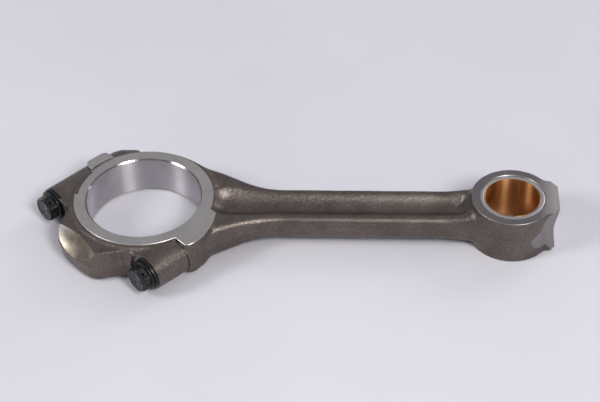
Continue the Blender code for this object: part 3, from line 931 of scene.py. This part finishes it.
def washer_piece(side, label):
    """Flat washer on its seat, with both faces eased at the edges."""
    profile = [(6.5, 0.35), (6.8, 0.05), (11.7, 0.05), (12.0, 0.35), (12.0, WASHER_TOP - 0.5)]
    profile += [(11.85, WASHER_TOP - 0.15), (11.5, WASHER_TOP), (6.8, WASHER_TOP), (6.5, WASHER_TOP - 0.3)]
    item = lathe(f"washer_{label}", profile, BOLT_STEPS, WASHER_BLACK, hollow=True)
    moved(item, bolt_frame(side, SEAT[side]))
    finish_piece(item, f"washer_{label}", f"bolt_washer_{label}")


def threaded_shank():
    """Bolt shank with a helical thread, a waist and a short pilot under the head."""
    steps, levels, rise = 48, 177, 0.125
    heights = [BOLT_TIP + rise * i for i in range(levels)]
    sections = []
    for z in heights:
        ring = []
        for i in range(steps):
            angle = 2.0 * math.pi * i / steps
            phase = (z / THREAD_PITCH - angle / (2.0 * math.pi)) % 1.0
            tooth = min(1.0, max(0.0, 2.6 * abs(phase - 0.5) - 0.15))
            lead = min(1.0, (z - BOLT_TIP) / 1.6, (heights[-1] - z) / 0.8 + 0.01)
            radius = THREAD_ROOT + THREAD_HEIGHT * tooth * max(lead, 0.0)
            ring.append((radius * math.cos(angle), radius * math.sin(angle), z))
        sections.append(ring)
    neck = [(THREAD_ROOT, heights[-1] + 0.8), (THREAD_ROOT, HEAD_BASE - 11.0), (5.5, HEAD_BASE - 9.5)]
    neck += [(PILOT, HEAD_BASE - 8.5), (PILOT, HEAD_BASE + 0.6)]
    for radius, z in neck:
        turns = [2.0 * math.pi * i / steps for i in range(steps)]
        sections.append([(radius * math.cos(a), radius * math.sin(a), z) for a in turns])
    return loft("shank", sections, BLACK)


def bolt_head(turn):
    """Hexagon with rounded collar, chamfered end, marked face and locking-wire holes."""
    corner = ACROSS_FLATS / math.sqrt(3.0)
    head = prism("head", arc((0.0, 0.0), corner, 0.0, 360.0, 6)[:-1], HEAD_BASE + 0.5, HEAD_TOP, BLACK)
    dome = [(corner - 0.25, HEAD_BASE), (corner - 0.25, HEAD_TOP - 1.1), (corner - 0.75, HEAD_TOP - 0.4)]
    dome.append((corner - 1.5, HEAD_TOP))
    combine(head, lathe("dome", dome, 96, BLACK), "INTERSECT")
    for index in range(6):
        hole = lathe("wire_hole", [(0.9, 5.0), (0.9, 8.2), (1.25, 8.6), (1.25, 15.0)], 24, BLACK)
        turned = Matrix.Rotation(math.radians(60.0 * index), 4, "Z")
        place = Matrix.Translation((0.0, 0.0, HEAD_BASE + 4.9)) @ turned
        cut(head, moved(hole, place @ Matrix.Rotation(math.radians(90.0), 4, "X")))
    recess = [(6.9, HEAD_TOP - 0.45), (7.2, HEAD_TOP - 0.35), (7.5, HEAD_TOP + 0.2)]
    cut(head, lathe("recess", recess, 64, WORN_BLACK))
    mark = [(2.6, -0.7), (5.9, -0.7), (5.9, 0.7), (2.6, 0.7)]
    for index in range(3):
        bar = prism("bar", mark, HEAD_TOP - 0.8, HEAD_TOP - 0.1, WORN_BLACK)
        add(head, moved(bar, Matrix.Rotation(math.radians(120.0 * index + 40.0), 4, "Z")))
    collar = [(10.6, HEAD_BASE), (11.2, HEAD_BASE + 0.15), (11.4, HEAD_BASE + 0.5), (11.4, HEAD_BASE + 1.0)]
    collar += [(11.2, HEAD_BASE + 1.35), (10.7, HEAD_BASE + 1.55), (9.2, HEAD_BASE + 1.9)]
    add(head, lathe("collar", collar, 96, BLACK))
    return moved(head, Matrix.Rotation(math.radians(turn), 4, "Z"))


def bolt_piece(side, label, turn):
    """Cap bolt screwed down on its washer, its head turned by an angle in degrees."""
    item = threaded_shank()
    add(item, bolt_head(turn))
    item.name = f"bolt_{label}"
    edges = item.modifiers.new("edges", "BEVEL")
    edges.width = 0.22
    edges.segments = 2
    edges.limit_method = "ANGLE"
    edges.angle_limit = math.radians(40.0)
    edges.use_clamp_overlap = True
    moved(item, bolt_frame(side, SEAT[side]))
    with bpy.context.temp_override(object=item, active_object=item):
        bpy.ops.object.modifier_apply(modifier=edges.name)
    finish_piece(item, f"bolt_{label}", f"cap_bolt_{label}")


# ---------------------------------------------------------------- setting

def floor():
    """Pale sheet under the rod, tilted so that both ends rest on it: the small end is the deeper one."""
    tilt = math.atan2(SMALL_HALF - BIG_HALF, 287.0)
    made, tree, shader, place = nodes_of("pale_paper")
    cloud = noise(tree, place, 3.0, 3.0)
    base = ramp(tree, cloud, [(0.3, (0.585, 0.575, 0.62)), (0.7, (0.635, 0.625, 0.665))])
    tree.links.new(base, shader.inputs["Base Color"])
    shader.inputs["Roughness"].default_value = 0.75
    bump(tree, shader, [(noise(tree, place, 900.0, 2.0), 0.05, 0.0001)])
    size = 2.4
    pivot = ORIGIN + Vector(((CENTRE_DISTANCE - EYE) * MM, 0.0, -SMALL_HALF * MM))
    points = []
    for x, y in ((-size, -size), (size, -size), (size, size), (-size, size)):
        points.append((pivot.x + x, y, pivot.z - x * math.tan(tilt)))
    made_floor = new_object("floor", points, [(0, 1, 2, 3)], made)


def lamp(name, place, size, power, colour):
    """Rectangular area light that points at the middle of the frame's floor."""
    data = bpy.data.lights.new(name, "AREA")
    data.shape = "RECTANGLE"
    data.size, data.size_y = size
    data.energy = power
    data.color = colour
    made = bpy.data.objects.new(name, data)
    made.location = place
    made.rotation_euler = (-Vector(place)).to_track_quat("-Z", "Y").to_euler()
    bpy.context.scene.collection.objects.link(made)


def lights():
    """Bright room with a window to the left, one over the right shoulder and a pale wall behind."""
    world = bpy.data.worlds.new("studio")
    bpy.context.scene.world = world
    world.use_nodes = True
    background = world.node_tree.nodes["Background"]
    background.inputs["Color"].default_value = (0.90, 0.90, 0.97, 1.0)
    background.inputs["Strength"].default_value = 0.43
    daylight = (1.0, 0.99, 0.98)
    lamp("left_window", (-2.30, -0.80, 1.80), (0.8, 0.8), 36.0, daylight)
    lamp("right_window", (1.15, -1.70, 2.10), (0.8, 0.8), 56.0, daylight)
    lamp("back_wall", (2.0, 1.9, 1.6), (1.2, 1.0), 16.0, (0.95, 0.97, 1.0))


def camera():
    """Camera above the near side of the rod, looking down at about 42 degrees. Scale is in mm per unit."""
    azimuth, elevation, roll = (math.radians(v) for v in (3.44, 42.10, -1.782))
    scale, distance = 42.5, 26.80
    right = Vector((math.cos(azimuth), math.sin(azimuth), 0.0))
    level = math.cos(elevation)
    back = Vector((math.sin(azimuth) * level, -math.cos(azimuth) * level, math.sin(elevation)))
    up = back.cross(right)
    rolled_right = right * math.cos(roll) + up * math.sin(roll)
    rolled_up = up * math.cos(roll) - right * math.sin(roll)
    data = bpy.data.cameras.new("camera")
    data.sensor_width = 36.0
    data.lens = 94.884
    made = bpy.data.objects.new("camera", data)
    target = ORIGIN + Vector((2.673 * scale, -0.0756 * scale, BIG_HALF)) * MM
    matrix = Matrix((rolled_right, rolled_up, back)).transposed().to_4x4()
    matrix.translation = target + back * distance * scale * MM
    made.matrix_world = matrix
    bpy.context.scene.collection.objects.link(made)
    bpy.context.scene.camera = made


rod_and_cap()
bush()
for bolt_side, bolt_label, head_turn in ((NEAR, "near", -2.4), (FAR, "far", 0.0)):
    washer_piece(bolt_side, bolt_label)
    bolt_piece(bolt_side, bolt_label, head_turn)
floor()
lights()
camera()
bpy.context.scene.view_settings.view_transform = "Standard"
